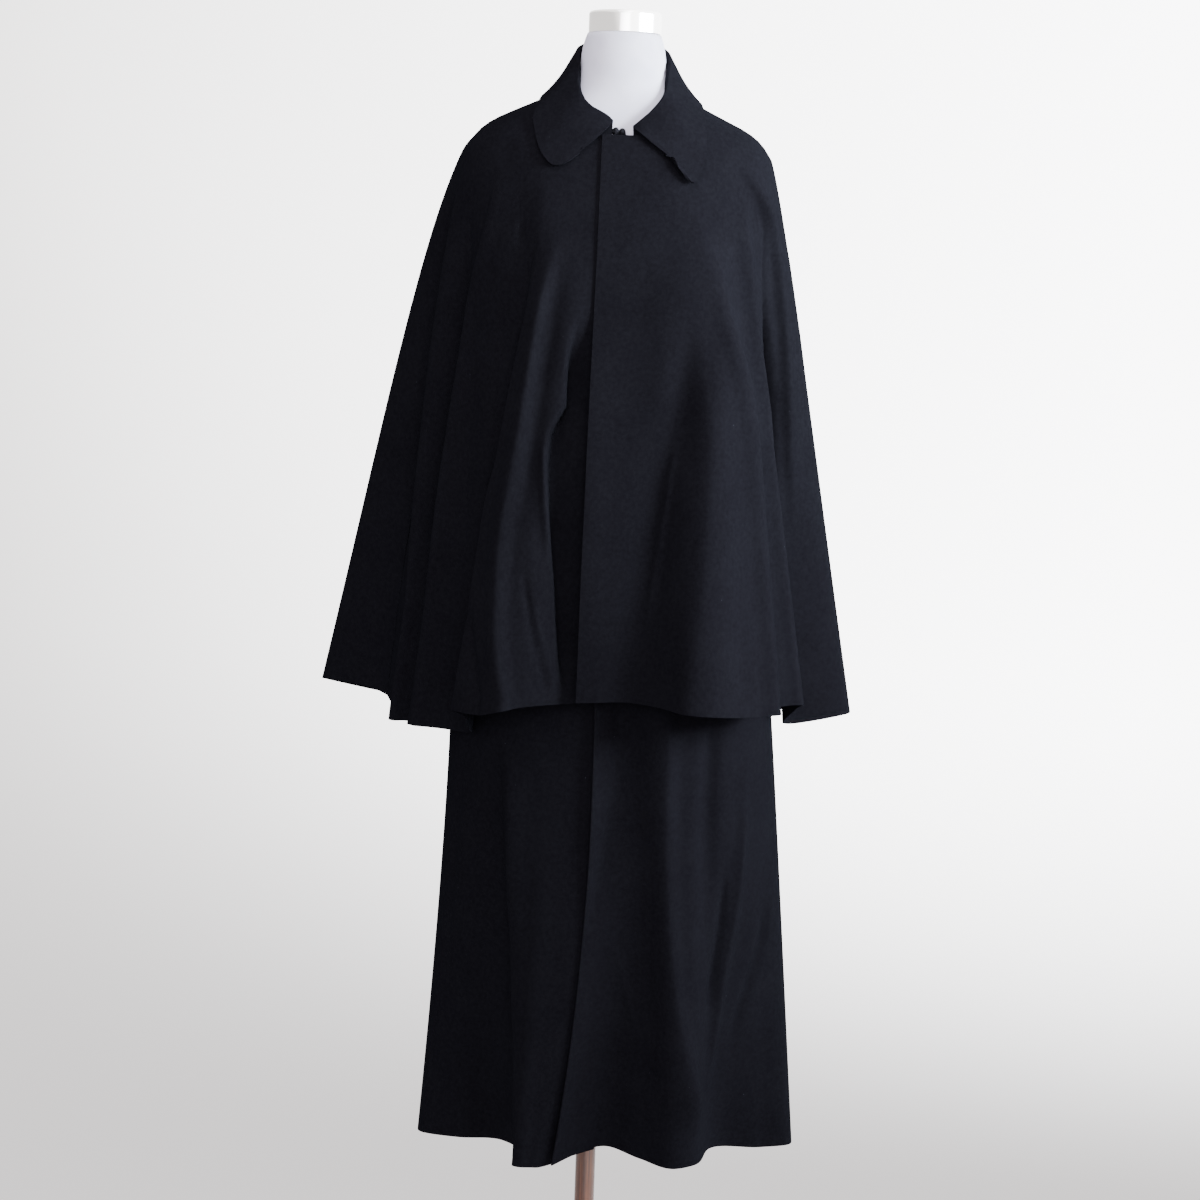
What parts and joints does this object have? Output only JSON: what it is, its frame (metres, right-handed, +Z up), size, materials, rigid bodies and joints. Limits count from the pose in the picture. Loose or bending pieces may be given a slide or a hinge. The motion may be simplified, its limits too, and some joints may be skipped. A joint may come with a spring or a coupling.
{
  "type": "wool cape coat on a dress form",
  "caption": "Long sleeveless wool coat with a hip-length cape and turned-down collar, worn by a padded limbless dress form on a pole stand.",
  "frame": {"origin": "centre of the foot's flat underside, on the floor under the pole", "axes": "+Z up along the pole; the coat's front faces -Y; +X is the wearer's left"},
  "size_m": [0.648, 0.398, 1.592],
  "materials": {
    "black_wool": "brushed, matt",
    "hook_wire": "dark",
    "white_jersey": "smooth, matt",
    "neck_chrome": "polished",
    "brown_wood": "varnished"
  },
  "bodies": {
    "root": {"coat_front_left": "black_wool", "coat_front_right": "black_wool", "coat_back": "black_wool", "cape_front_left": "black_wool", "cape_front_right": "black_wool", "cape_back_left": "black_wool", "cape_back_right": "black_wool", "collar": "black_wool", "neck_hook": "hook_wire", "form_torso": "white_jersey", "neck_cap": "neck_chrome", "pole": "brown_wood", "foot": "brown_wood"}
  },
  "joints": []
}
